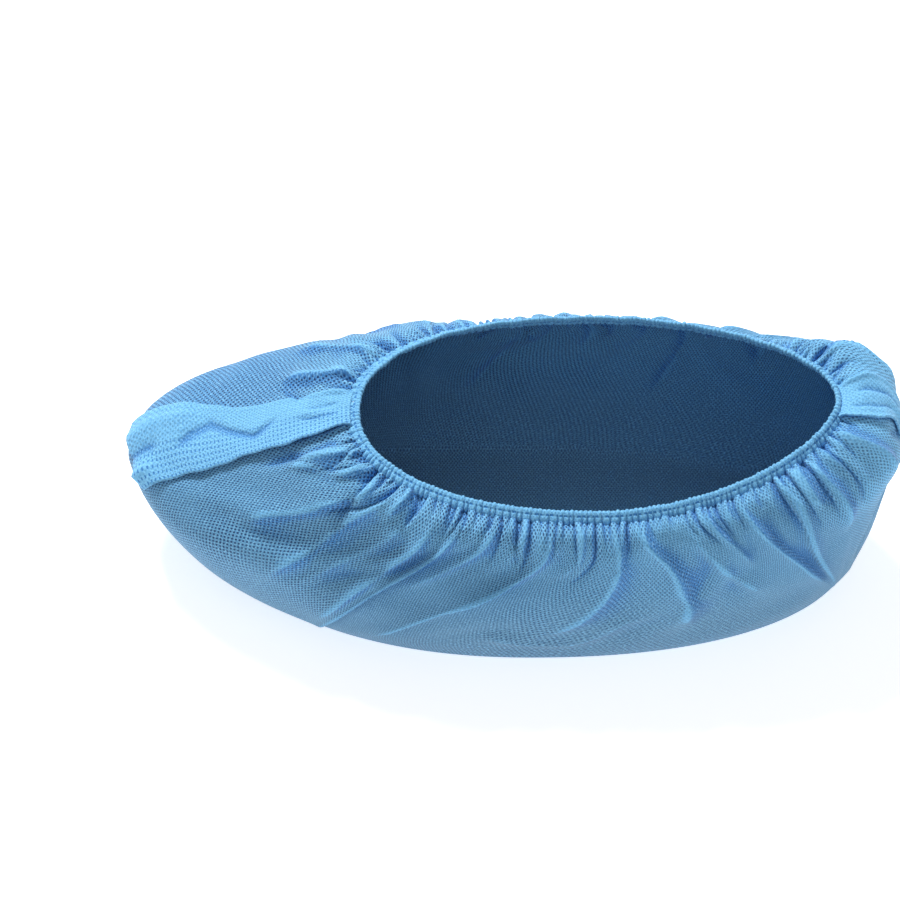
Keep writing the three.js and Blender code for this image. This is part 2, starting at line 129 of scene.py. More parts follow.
# Levels of the cloth from the rim down, each a closed outline round the cover. toe and heel are shares
# of half the cover's length, outer and inner shares of half its width, swing a share of the toe's
# swing, and up the heights, as shares of the rim's height at the toe, outer side, heel and inner side.
# full and back are the outline's powers towards the toe and the heel: 2 is an ellipse.
LEVELS = [
    dict(toe=0.79, heel=0.985, outer=0.93, inner=0.93, swing=0.9,
         full=2.4, back=2.4, up=(0.75, 0.79, 0.84, 0.75)),
    dict(toe=1, heel=0.985, outer=1.01, inner=0.99, swing=1,
         full=2.4, back=2.35, up=(0.51, 0.46, 0.54, 0.42)),
    dict(toe=0.93, heel=0.95, outer=1.01, inner=0.94, swing=0.95,
         full=2.4, back=2.3, up=(0.18, 0.16, 0.22, 0.14)),
    dict(toe=0.82, heel=0.9, outer=0.97, inner=0.84, swing=0.85,
         full=2.3, back=2.2, up=(0.02, 0.02, 0.02, 0.02)),
]

# The hem's lean and the crest of the puffed cloth just outside it, from the toe round by the outer side.
# at is the place round the rim; lean is how steeply the hem runs down and outwards, in degrees; out is
# how far the crest lies out from the rim, and up how far above it, in millimetres.
CREST = [
    dict(at=0, lean=22, out=15, up=-4),
    dict(at=0.125, lean=38, out=11, up=-4.2),
    dict(at=0.25, lean=50, out=8.5, up=-4.8),
    dict(at=0.375, lean=52, out=9, up=-4.2),
    dict(at=0.5, lean=50, out=12, up=-3),
    dict(at=0.545, lean=52, out=13.5, up=-2),
    dict(at=0.59, lean=58, out=7.5, up=-7.6),
    dict(at=0.64, lean=66, out=6, up=-9.4),
    dict(at=0.72, lean=70, out=6.2, up=-8.8),
    dict(at=0.8, lean=70, out=6.8, up=-8.4),
    dict(at=0.9, lean=45, out=10, up=-5.5),
]

# How far the threads of the cloth have moved round the cover at each level, as shares of the way round.
# at is the thread's place at the hem.
THREADS = [
    dict(at=0, move=(0.012, 0.008, 0, 0)),
    dict(at=0.05, move=(0.026, 0.019, 0.005, -0.005)),
    dict(at=0.08, move=(0.044, 0.04, 0.018, -0.005)),
    dict(at=0.12, move=(0.053, 0.048, 0.022, 0)),
    dict(at=0.15, move=(0.042, 0.034, 0.004, -0.018)),
    dict(at=0.2, move=(0.04, 0.022, -0.016, -0.036)),
    dict(at=0.24, move=(0.032, 0.022, -0.01, -0.025)),
    dict(at=0.28, move=(0.03, 0.045, 0.035, 0.03)),
    dict(at=0.33, move=(0.028, 0.055, 0.062, 0.065)),
    dict(at=0.38, move=(0.013, 0.042, 0.06, 0.07)),
    dict(at=0.44, move=(0, 0.015, 0.028, 0.04)),
    dict(at=0.48, move=(0.002, 0.01, 0.012, 0.015)),
    dict(at=0.53, move=(-0.002, -0.008, -0.008, -0.01)),
    dict(at=0.58, move=(-0.005, -0.02, -0.03, -0.03)),
    dict(at=0.64, move=(-0.02, -0.04, -0.05, -0.05)),
    dict(at=0.72, move=(-0.03, -0.035, -0.02, 0)),
    dict(at=0.8, move=(-0.035, -0.02, 0.01, 0.03)),
    dict(at=0.86, move=(-0.045, -0.035, -0.005, 0.01)),
    dict(at=0.92, move=(-0.04, -0.035, -0.01, 0)),
    dict(at=0.96, move=(-0.015, -0.01, 0, 0)),
]

# The main folds. Each runs through places on the cloth: a thread, as a share of the way round the hem,
# and a share of the way down it. high is its height and wide its breadth in millimetres; steep is how
# much quicker it falls away towards the heel than towards the toe, or if below 1, slower.
FOLDS = [
    dict(path=[(0.144, 0.04), (0.137, 0.24), (0.132, 0.4), (0.129, 0.55), (0.125, 0.75), (0.124, 0.98)],
         high=5, wide=9, steep=3.4),
    dict(path=[(0.121, 0.05), (0.117, 0.25), (0.116, 0.45), (0.116, 0.64), (0.114, 0.85)],
         high=3.4, wide=8, steep=2.4),
    dict(path=[(0.104, 0.08), (0.1, 0.23), (0.096, 0.4), (0.094, 0.55), (0.09, 0.7)],
         high=2.2, wide=6, steep=2),
    dict(path=[(0.082, 0.04), (0.077, 0.19), (0.081, 0.39), (0.081, 0.58), (0.076, 0.72)],
         high=3, wide=9, steep=2.6),
    dict(path=[(0.069, 0.02), (0.064, 0.17), (0.062, 0.3), (0.058, 0.42), (0.057, 0.55)],
         high=2.6, wide=7, steep=2.4),
    dict(path=[(0.052, 0.02), (0.042, 0.09), (0.034, 0.17), (0.032, 0.24)], high=2.4, wide=5, steep=2),
    dict(path=[(0.041, 0.01), (0.033, 0.08), (0.027, 0.19)], high=2.2, wide=4.5, steep=2),
    dict(path=[(0.168, 0.05), (0.164, 0.2), (0.158, 0.34), (0.152, 0.5)], high=2.2, wide=8, steep=1.8),
    dict(path=[(0.208, 0.24), (0.2, 0.48), (0.191, 0.67), (0.186, 0.95)], high=3.6, wide=9, steep=2.6),
    dict(path=[(0.215, 0.02), (0.213, 0.1), (0.208, 0.23), (0.201, 0.41), (0.197, 0.6)],
         high=3, wide=8, steep=2.2),
    dict(path=[(0.241, 0.02), (0.238, 0.16), (0.234, 0.3)], high=2, wide=6, steep=2),
    dict(path=[(0.27, 0.01), (0.268, 0.1), (0.267, 0.26), (0.266, 0.47), (0.26, 0.68), (0.25, 0.82)],
         high=3.6, wide=9, steep=2.6),
    dict(path=[(0.24, 0.7), (0.25, 0.8), (0.264, 0.83), (0.274, 0.74), (0.282, 0.63), (0.297, 0.6)],
         high=2, wide=6, steep=0.6),
    dict(path=[(0.289, 0.01), (0.289, 0.12), (0.297, 0.29), (0.302, 0.49), (0.306, 0.8)],
         high=3.8, wide=8, steep=2.4),
    dict(path=[(0.323, 0.1), (0.322, 0.28), (0.333, 0.49), (0.347, 0.66)], high=2.8, wide=7, steep=0.5),
    dict(path=[(0.346, 0.03), (0.344, 0.2), (0.347, 0.42)], high=2.2, wide=6, steep=2),
    dict(path=[(0.371, 0.01), (0.372, 0.1), (0.374, 0.24), (0.379, 0.42), (0.386, 0.6), (0.4, 0.85)],
         high=3.4, wide=7, steep=2.6),
    dict(path=[(0.411, 0.01), (0.411, 0.14), (0.402, 0.33), (0.398, 0.55), (0.408, 0.9)],
         high=3.8, wide=8, steep=0.4),
    dict(path=[(0.427, 0.02), (0.426, 0.1), (0.423, 0.22)], high=2.2, wide=5, steep=2),
    dict(path=[(0.437, 0.03), (0.439, 0.15), (0.438, 0.3), (0.43, 0.45)], high=3, wide=7, steep=2),
    dict(path=[(0.456, 0.02), (0.457, 0.14), (0.46, 0.3)], high=2, wide=5, steep=2),
    dict(path=[(0.473, 0.01), (0.474, 0.1), (0.477, 0.2), (0.476, 0.36)], high=3.4, wide=7, steep=2.6),
    dict(path=[(0.024, 0.02), (0.026, 0.16), (0.028, 0.32)], high=-2.4, wide=3.4, steep=1.5),
    dict(path=[(0.99, 0.42), (0.992, 0.54), (0.995, 0.64), (0.996, 0.76), (0.996, 0.85)],
         high=3.4, wide=13, steep=1.3),
    dict(path=[(0.094, 0.01), (0.09, 0.08), (0.087, 0.16)], high=1.8, wide=4, steep=2),
    dict(path=[(0.06, 0.01), (0.052, 0.06), (0.044, 0.13)], high=1.8, wide=3.6, steep=2),
    dict(path=[(0.549, 0.06), (0.545, 0.17), (0.542, 0.27), (0.54, 0.36)], high=3.8, wide=6, steep=1.6),
    dict(path=[(0.552, 0.01), (0.549, 0.1), (0.556, 0.22)], high=-2.6, wide=3, steep=1.5),
    dict(path=[(0.505, 0.3), (0.496, 0.24), (0.49, 0.2)], high=-1.6, wide=3, steep=1.5),
    dict(path=[(0.492, 0.38), (0.486, 0.47), (0.476, 0.6), (0.465, 0.76), (0.455, 0.92)],
         high=-4.2, wide=13, steep=1.2),
    dict(path=[(0.963, 0.01), (0.968, 0.07), (0.973, 0.16), (0.976, 0.24)], high=3, wide=5, steep=2.2),
    dict(path=[(0.94, 0.01), (0.945, 0.12), (0.955, 0.3)], high=2.4, wide=6, steep=2),
]

# How deep the dip is at the foot of a fold's steep side, as a share of its height, and how many times
# its breadth a fold reaches
FOLD_DIP = 0.35
FOLD_FADE = 4
# The powers of its slow and quick slopes, and the shares of its length in which it rises and dies away
SLOW_SLOPE = 1.1
QUICK_SLOPE = 1.25
FOLD_START = 0.18
FOLD_END = 0.3

# The folds of the inner side: how many, from where to where round the cover, the share of the way down
# where they start and may end, the most that each leans and stands out, and how wide and steep they are
INNER_FOLDS = 15
INNER_FOLDS_FROM = 0.53
INNER_FOLDS_TO = 0.92
INNER_FOLD_TOP = 0.06
INNER_FOLD_FOOT = (0.4, 0.95)
INNER_FOLD_LEAN = 0.03
INNER_FOLD_HEIGHT = 2.1
INNER_FOLD_WIDTH = (6, 9)
INNER_FOLD_STEEPNESS = (1.6, 2.6)

# How far the cloth puffs out just below the hem, how far below it the puff starts, over what depth the
# puff and the creases grow, and how far down the puff reaches
PUFF = 1.3 * MM
PUFF_START = 0.3 * MM
PUFF_RISE = 2 * MM
CREASE_RISE = 1.6 * MM
PUFF_REACH = 24 * MM

# Soft waves of the cloth, narrow ones near the hem and broad ones low down: how many go round it, and
# in millimetres their height, how far below the hem their middle is and how far they spread from it
UNDULATIONS = [
    dict(count=64, high=0.5, middle=12, spread=10, seed=5),
    dict(count=33, high=0.9, middle=24, spread=18, seed=8),
    dict(count=17, high=1.0, middle=50, spread=30, seed=13),
]

# The share of the way down the cloth from which it calms down to the flat sole
CALM_FROM = 0.93

# The places where the cloth lies under a seam allowance: how near the allowance's edges, as shares of
# its breadth, and its end, as a share of the way down the cloth, the gathers start to calm down
FLAP_EDGE = 0.02
FLAP_CALM = 0.1
FLAP_END_CALM = 0.04

# The seam allowances, folded over towards the outer side. down is a share of the way down the cloth;
# seam and free are the threads under its two edges; lift is how far the free edge stands off the cloth
# and seam_lift how far the other edge does, in millimetres.
TOE_FLAP = [
    dict(down=0, seam=0.98, free=0.014, seam_lift=0.8, lift=1.2),
    dict(down=0.06, seam=0.981, free=0.017, seam_lift=0.9, lift=2.6),
    dict(down=0.14, seam=0.986, free=0.018, seam_lift=1, lift=3),
    dict(down=0.24, seam=0.99, free=0.019, seam_lift=1, lift=2.6),
    dict(down=0.34, seam=0.99, free=0.02, seam_lift=1.1, lift=2),
    dict(down=0.46, seam=0.985, free=0.022, seam_lift=1.1, lift=1.6),
    dict(down=0.56, seam=0.984, free=0.021, seam_lift=1.2, lift=1.2),
    dict(down=0.64, seam=0.986, free=0.02, seam_lift=1.4, lift=0.8),
]
HEEL_FLAP = [
    dict(down=0, seam=0.515, free=0.484, seam_lift=0.8, lift=1),
    dict(down=0.07, seam=0.515, free=0.489, seam_lift=0.9, lift=1.8),
    dict(down=0.14, seam=0.52, free=0.494, seam_lift=0.9, lift=1.8),
    dict(down=0.22, seam=0.526, free=0.502, seam_lift=0.8, lift=1.6),
    dict(down=0.36, seam=0.526, free=0.503, seam_lift=0.8, lift=1.5),
    dict(down=0.5, seam=0.524, free=0.503, seam_lift=1, lift=1.6),
]


def by_side(turn, toe, outer, heel, inner):
    """A size that changes smoothly from side to side round an outline."""
    along = np.cos(turn)
    across = np.sin(turn)
    end = np.where(along > 0, toe, heel)
    side = np.where(across > 0, outer, inner)
    return end * along**2 + side * across**2


def outline(ends, sides, middle_y, swing, powers, heights):
    """Dense points of a closed outline. It starts at the toe and runs by the outer side."""
    turn = np.linspace(0, 2 * np.pi, OUTLINE_STEPS + 1)
    power = 2 / np.where(np.cos(turn) > 0, powers[0], powers[1])
    along = np.sign(np.cos(turn)) * np.abs(np.cos(turn)) ** power
    across = np.sign(np.sin(turn)) * np.abs(np.sin(turn)) ** power
    x = sum(ends) / 2 - along * (ends[1] - ends[0]) / 2
    y = middle_y - across * np.where(across > 0, sides[0], sides[1]) + swing * np.maximum(along, 0) ** 2
    return np.stack([x, y, by_side(turn, *heights)], axis=-1)


def steps_along(points):
    """The distance from the first point to each point along a line of points."""
    return np.concatenate([[0], np.cumsum(np.linalg.norm(np.diff(points, axis=0), axis=1))])


def even_loop(points, columns, move=0):
    """Points at equal steps round a closed outline, each moved on by a share of the way round."""
    along = steps_along(points)
    at = (np.arange(columns) / columns + move) % 1 * along[-1]
    return np.stack([np.interp(at, along, points[:, k]) for k in range(3)], axis=-1)


def table_column(table, name, around):
    """One column of a table at places round the cover, on a smooth curve through its rows."""
    at = np.array([row["at"] for row in table] + [1 + table[0]["at"]])
    pick = (lambda row: row[name]) if isinstance(name, str) else (lambda row: row["move"][name])
    value = np.array([pick(row) for row in table] + [pick(table[0])], dtype=float)
    at = np.concatenate([[at[-2] - 1], at, [1 + at[1]]])
    value = np.concatenate([[value[-2]], value, [value[1]]])
    k = np.searchsorted(at, around, side="right") - 1
    span = at[k + 1] - at[k]
    t = (around - at[k]) / span
    start = (value[k + 1] - value[k - 1]) / (at[k + 1] - at[k - 1])
    end = (value[(k + 2) % len(value)] - value[k]) / (at[(k + 2) % len(at)] - at[k])
    between = (1 - t) ** 2 * (1 + 2 * t) * value[k] + t**2 * (3 - 2 * t) * value[k + 1]
    return between + t * (1 - t) * span * ((1 - t) * start - t * end)


def rim_frame(columns):
    """At each column: the rim's point, and which way the hem runs down, which way it faces and is out."""
    middle = (OPENING_SET_BACK - OPENING_LENGTH / 2, OPENING_SET_BACK + OPENING_LENGTH / 2)
    half = OPENING_WIDTH / 2
    ring = outline(middle, (half, half), OPENING_SET_IN, 0, OPENING_POWERS, RIM_HEIGHTS)
    rim = even_loop(ring, columns)
    around = np.arange(columns) / columns
    along = np.roll(rim, -1, axis=0) - np.roll(rim, 1, axis=0)
    out = np.stack([along[:, 1], -along[:, 0], np.zeros(columns)], axis=-1)
    out /= np.linalg.norm(out, axis=1, keepdims=True)
    lean = np.radians(table_column(CREST, "lean", around))[:, None]
    up = np.array([0.0, 0.0, 1.0])
    return rim, out * np.cos(lean) - up * np.sin(lean), out * np.sin(lean) + up * np.cos(lean), out


def place_in_frame():
    """How far the origin of these sizes lies from the frame's, from where the elastic is."""
    rim, hem_down, _, _ = rim_frame(COLUMNS)
    elastic = rim + hem_down * ELASTIC_MIDDLE
    middle = (elastic.min(axis=0) + elastic.max(axis=0)) / 2
    low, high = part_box("elastic")
    shift = (np.array(low) + np.array(high)) / 2 - middle
    return np.array([shift[0], shift[1], 0])


ORIGIN = place_in_frame()


def level_loop(n, columns):
    level = LEVELS[n]
    ends = (-level["toe"] * COVER_LENGTH / 2, level["heel"] * COVER_LENGTH / 2)
    sides = (level["outer"] * COVER_WIDTH / 2, level["inner"] * COVER_WIDTH / 2)
    heights = [share * height for share, height in zip(level["up"], RIM_HEIGHTS)]
    swing = level["swing"] * TOE_SWING
    move = table_column(THREADS, n, np.arange(columns) / columns)
    ring = outline(ends, sides, 0, swing, (level["full"], level["back"]), heights)
    return even_loop(ring, columns, move)


def curve_through(knots, steps):
    """A smooth curve through rows of knots, one curve for each column."""
    before = 2 * knots[0] - knots[1]
    after = 2 * knots[-1] - knots[-2]
    ends = [before, *knots, after]
    dense = []
    for a, b, c, d in zip(ends, ends[1:], ends[2:], ends[3:]):
        ab, bc, cd = (np.sqrt(np.linalg.norm(q - p, axis=1))[:, None] for p, q in ((a, b), (b, c), (c, d)))
        leave = (c - b) + bc * ((b - a) / ab - (c - a) / (ab + bc))
        arrive = (c - b) + bc * ((d - c) / cd - (d - b) / (bc + cd))
        for t in np.linspace(0, 1, steps, endpoint=False):
            dense.append(
                (2 * t**3 - 3 * t**2 + 1) * b + (t**3 - 2 * t**2 + t) * leave
                + (3 * t**2 - 2 * t**3) * c + (t**3 - t**2) * arrive
            )
    dense.append(knots[-1])
    return np.array(dense)


def facings(rows):
    """Which way a closed band of cloth faces at each of its points."""
    around = np.roll(rows, -1, axis=1) - np.roll(rows, 1, axis=1)
    down = np.gradient(rows, axis=0)
    face = np.cross(down, around)
    return face / np.linalg.norm(face, axis=-1, keepdims=True)


class Form:
    """The cloth's smooth form, before its folds, from the band in the hem down to the sole."""

    COLUMNS = 1524
    ROWS = 241
    CURVE_STEPS = 24

    def __init__(self):
        rim, hem_down, _, out = rim_frame(self.COLUMNS)
        around = np.arange(self.COLUMNS) / self.COLUMNS
        crest = rim + out * table_column(CREST, "out", around)[:, None] * MM
        crest[:, 2] += table_column(CREST, "up", around) * MM
        levels = [level_loop(n, self.COLUMNS) for n in range(len(LEVELS))]
        dense = curve_through([rim + hem_down * SHEET_EDGE, crest] + levels, self.CURVE_STEPS)
        steps = np.linalg.norm(np.diff(dense, axis=0), axis=-1)
        along = np.concatenate([np.zeros((1, self.COLUMNS)), np.cumsum(steps, axis=0)])
        shares = np.linspace(0, 1, self.ROWS)
        self.points = np.empty((self.ROWS, self.COLUMNS, 3))
        for i in range(self.COLUMNS):
            for k in range(3):
                self.points[:, i, k] = np.interp(shares * along[-1, i], along[:, i], dense[:, i, k])
        self.points += ORIGIN
        self.face = facings(self.points)
        self.length = along[-1]

    def between(self, grid, around, down):
        """Values of a grid at places round the form and down it."""
        across = (around % 1) * self.COLUMNS
        along = np.clip(down, 0, 1) * (self.ROWS - 1)
        i = np.floor(across).astype(int) % self.COLUMNS
        j = np.minimum(np.floor(along).astype(int), self.ROWS - 2)
        u = (across - np.floor(across))[..., None]
        v = (along - j)[..., None]
        n = (i + 1) % self.COLUMNS
        upper = grid[j, i] * (1 - u) + grid[j, n] * u
        lower = grid[j + 1, i] * (1 - u) + grid[j + 1, n] * u
        return upper * (1 - v) + lower * v

    def at(self, around, down, off):
        """Points at places round the form and down it, moved off it by a height."""
        face = self.between(self.face, around, down)
        face /= np.linalg.norm(face, axis=-1, keepdims=True)
        return self.between(self.points, around, down) + face * off[..., None]

    def depth(self, around, down):
        """How far below the hem such a place is, along the cloth."""
        return down * np.interp(around % 1 * self.COLUMNS, np.arange(self.COLUMNS), self.length)


def flap_column(rows, name, down):
    return np.interp(down, [row["down"] for row in rows], [row[name] for row in rows])


def smooth(t):
    inside = np.clip(t, 0, 1)
    return inside * inside * (3 - 2 * inside)


def fold_height(fold, around, down, girth, depth):
    """How far one fold lifts the cloth. girth and depth turn places on the cloth into metres."""
    path = np.array(fold["path"])
    wide = fold["wide"] * MM
    first, last = path[:, 0].min(), path[:, 0].max()
    apart = around - (first + last) / 2
    near = np.abs(apart - np.round(apart)) < (last - first) / 2 + FOLD_FADE * wide / girth
    height = np.zeros(around.shape)
    height[near] = profile(fold, around[near], down[near], girth, depth)
    return height


def profile(fold, around, down, girth, depth):
    """The height of a fold by the distance from its crest, quick to fall on its steep side."""
    best = np.full(around.shape, np.inf)
    side = np.zeros(around.shape)
    place = np.zeros(around.shape)
    path = np.array(fold["path"])
    lengths = np.hypot(np.diff(path[:, 0]) * girth, np.diff(path[:, 1]) * depth)
    gone = 0
    for a, b, length in zip(path, path[1:], lengths):
        off = around - a[0]
        off = (off - np.round(off)) * girth
        fall = (down - a[1]) * depth
        step = np.array([(b[0] - a[0]) * girth, (b[1] - a[1]) * depth]) / length
        t = np.clip(off * step[0] + fall * step[1], 0, length)
        x = off - t * step[0]
        y = fall - t * step[1]
        far = np.hypot(x, y)
        closer = far < best
        best = np.where(closer, far, best)
        side = np.where(closer, np.sign(step[1] * x - step[0] * y), side)
        place = np.where(closer, (gone + t) / lengths.sum(), place)
        gone += length
    ends = smooth(place / FOLD_START) * smooth((1 - place) / FOLD_END)
    wide = fold["wide"] * MM
    steep = fold["steep"]
    slow = np.exp(-((best / wide) ** SLOW_SLOPE))
    quick = np.exp(-((best * max(steep, 1 / steep) / wide) ** QUICK_SLOPE))
    quick = (1 + FOLD_DIP) * quick - FOLD_DIP * np.exp(-((best / wide) ** 2))
    return fold["high"] * MM * ends * np.where((side > 0) == (steep > 1), quick, slow)


def smooth_path(path, steps=6):
    """The same path with its corners rounded."""
    knots = [np.array([[a, b, 0.0]]) for a, b in path]
    return [tuple(p[0, :2]) for p in curve_through(knots, steps)]


def inner_folds():
    """Folds of the inner side, which lean and reach down by random shares, the same each time."""
    random = np.random.default_rng(21)
    folds = []
    apart = (INNER_FOLDS_TO - INNER_FOLDS_FROM) / INNER_FOLDS
    for k in range(INNER_FOLDS):
        at = INNER_FOLDS_FROM + apart * (k + random.uniform(0.2, 0.8))
        foot = random.uniform(*INNER_FOLD_FOOT)
        lean = random.uniform(-1, 1) * INNER_FOLD_LEAN
        bow = random.uniform(-0.4, 0.4) * INNER_FOLD_LEAN
        path = [
            (at, INNER_FOLD_TOP), (at + lean * 0.25 + bow, foot * 0.35),
            (at + lean * 0.7 + bow, foot * 0.7), (at + lean, foot),
        ]
        high = random.uniform(0.55, 1) * INNER_FOLD_HEIGHT
        wide = random.uniform(*INNER_FOLD_WIDTH)
        folds.append(dict(path=path, high=high, wide=wide, steep=random.uniform(*INNER_FOLD_STEEPNESS)))
    return folds


def make_creases():
    """The creases under the hem, at uneven steps round the rim, the same each time."""
    random = np.random.default_rng(3)
    creases = []
    at = 0.0
    while at < 1:
        kind = random.uniform()
        long = random.uniform(*next(span for share, span in CREASE_LENGTHS if kind < share))
        creases.append(dict(
            at=at, length=long * MM,
            deep=(CREASE_DEPTH + LONG_CREASE_DEPTH * (long / LONG_CREASE) ** 0.6) * MM,
            lean=random.normal(0, CREASE_LEAN), bow=random.normal(0, CREASE_BOW) / MM,
            turn=random.choice([-1, 1]),
            narrow=random.uniform(*CREASE_CRISP) * MM, broad=random.uniform(*CREASE_SOFT) * MM,
        ))
        at += random.uniform(*CREASE_STEP) / RIM_GIRTH
    return creases


CREASES = make_creases()


def gathers(around, depth):
    """The gathers under the hem: a soft puff, cut by creases with one crisp side and one soft side."""
    total = PUFF * smooth((depth - PUFF_START) / PUFF_RISE) * np.exp(-((depth / PUFF_REACH) ** 2))
    for crease in CREASES:
        off = around - crease["at"]
        off = (off - np.round(off)) * FOLD_GIRTH - crease["lean"] * depth - crease["bow"] * depth**2
        wide = np.where(off * crease["turn"] > 0, crease["narrow"], crease["broad"])
        fall = np.clip(1 - depth / crease["length"], 0, 1)
        total = total - crease["deep"] * fall**0.7 * np.exp(-((np.abs(off) / wide) ** 1.15))
    return total * smooth((depth - PUFF_START) / CREASE_RISE)


def crease_share(around):
    """How much of the cloth that the creases take up lies before each place round the rim."""
    total = np.zeros(around.shape)
    for crease in CREASES:
        past = (around - crease["at"]) * RIM_GIRTH / CREASE_TAKE_UP
        total = total + crease["deep"] * smooth(past + 0.5)
    return total / sum(crease["deep"] for crease in CREASES)


def crease_hollow(around):
    """How deep the creases cut into the hem, from 0 to 1."""
    total = np.zeros(around.shape)
    for crease in CREASES:
        off = around - crease["at"]
        off = (off - np.round(off)) * RIM_GIRTH
        cut = min(1, 0.45 + crease["deep"] / (5 * MM))
        total = total + cut * np.exp(-((np.abs(off) / CREASE_MOUTH) ** 1.5))
    return np.minimum(total, 1)


def undulation(around, depth):
    """The height of the soft waves. Each wave has its own size, the same each time."""
    total = np.zeros(around.shape)
    for layer in UNDULATIONS:
        random = np.random.default_rng(layer["seed"])
        phase = layer["count"] * around + 0.6 * np.sin(2 * np.pi * 5 * around + depth / (14 * MM))
        sizes = random.uniform(0.3, 1.4, layer["count"])
        which = np.floor(phase).astype(int) % layer["count"]
        inside = phase - np.floor(phase)
        near = np.exp(-(((depth - layer["middle"] * MM) / (layer["spread"] * MM)) ** 2))
        total += layer["high"] * MM * sizes[which] * np.sin(np.pi * inside) ** 2 * near
    return total


form = Form()
all_folds = [dict(fold, path=smooth_path(fold["path"])) for fold in FOLDS + inner_folds()]


def under_flap(around, down, table):
    """Where the cloth lies under a seam allowance: 1 in its middle and 0 outside."""
    seam = flap_column(table, "seam", down)
    wide = flap_column(table, "free", down) - seam
    share = around - seam
    share = (share - np.round(share)) / (wide - np.round(wide))
    end = smooth((table[-1]["down"] - down) / FLAP_END_CALM)
    sides = smooth((share - FLAP_EDGE) / FLAP_CALM) * smooth((1 - FLAP_EDGE - share) / FLAP_CALM)
    return sides * end


def cloth_height(thread, down):
    """How far the folds lift the cloth off its smooth form."""
    depth = form.depth(thread, down)
    calm = 1 - np.maximum(under_flap(thread, down, TOE_FLAP), under_flap(thread, down, HEEL_FLAP))
    height = gathers(thread, depth) * calm + undulation(thread, depth)
    for fold in all_folds:
        height = height + fold_height(fold, thread, down, FOLD_GIRTH, FOLD_DEPTH)
    return height * (1 - smooth((down - CALM_FROM) / (1 - CALM_FROM)))


def blurred(grid, reach_round, reach_down):
    """A grid over the whole cloth, smoothed over so many of its cells."""
    rows = len(grid)
    steps = np.arange(-3 * reach_round, 3 * reach_round + 1)
    weights = np.exp(-((steps / reach_round) ** 2) / 2)
    smoothed = sum(w * np.roll(grid, k, axis=1) for w, k in zip(weights, steps)) / weights.sum()
    apart = np.arange(rows)[:, None] - np.arange(rows)[None, :]
    spread = np.exp(-((apart / reach_down) ** 2) / 2)
    return spread @ smoothed / spread.sum(axis=1, keepdims=True)


# Over how many cells the cloth's height is smoothed, to find its slopes and what lies round a place
SOFT_CELLS = 2
ROUND_CELLS = 8


# From these the finish paints shade in hollows and on slopes towards the heel, and highlights on crests
def make_relief():
    """Over the whole cloth: how far it stands out of what is round it, and how it falls to the heel."""
    threads = np.arange(Form.COLUMNS) / Form.COLUMNS
    down, thread = np.meshgrid(np.linspace(0, 1, Form.ROWS), threads, indexing="ij")
    height = cloth_height(thread, down)
    soft = blurred(height, SOFT_CELLS, SOFT_CELLS)
    fall = (np.roll(soft, 2, axis=1) - np.roll(soft, -2, axis=1)) / (4 * FOLD_GIRTH / Form.COLUMNS)
    return np.stack([(height - blurred(height, ROUND_CELLS, ROUND_CELLS)) / MM, fall], axis=-1)


relief = make_relief()
girths = np.array([steps_along(np.concatenate([row, row[:1]]))[-1] for row in form.points])


def flat_places(thread, down):
    """Where places on the gathered cloth lie on the flat cloth, whose gathers lie in the creases."""
    girth = np.minimum(np.interp(down, np.linspace(0, 1, Form.ROWS), girths), FLAT_GIRTH)
    along = thread * girth + crease_share(thread) * (FLAT_GIRTH - girth)
    return np.stack([along, form.depth(thread, down)], axis=-1)


def mesh_object(name, points, faces, uvs, relief):
    """A piece from its points and faces, their places on the flat cloth and the relief at each point."""
    mesh = bpy.data.meshes.new(name)
    mesh.from_pydata([tuple(p) for p in points], [], faces)
    layer = mesh.uv_layers.new(name="cloth")
    layer.data.foreach_set("uv", np.array(uvs, dtype=np.float32).ravel())
    for k, attribute in enumerate(("stands_out", "falls")):
        mark = mesh.attributes.new(attribute, "FLOAT", "POINT")
        mark.data.foreach_set("value", np.array(relief[:, k], dtype=np.float32))
    mesh.shade_smooth()
    piece = bpy.data.objects.new(name, mesh)
    bpy.context.scene.collection.objects.link(piece)
    return piece


def thicken(piece, thickness):
    solid = piece.modifiers.new("thickness", "SOLIDIFY")
    solid.thickness = thickness
    solid.offset = 0


def side_rows(shares, columns):
    """Rows of the gathered cloth at shares of the way down, with their places on the flat cloth."""
    thread = np.broadcast_to(np.arange(columns) / columns, (len(shares), columns))
    down = np.broadcast_to(shares[:, None], thread.shape)
    height = cloth_height(thread, down)
    points = form.at(thread, down, height)
    points[..., 2] = np.maximum(points[..., 2], CLOTH_THICKNESS / 2)
    return points, flat_places(thread, down), form.between(relief, thread, down)


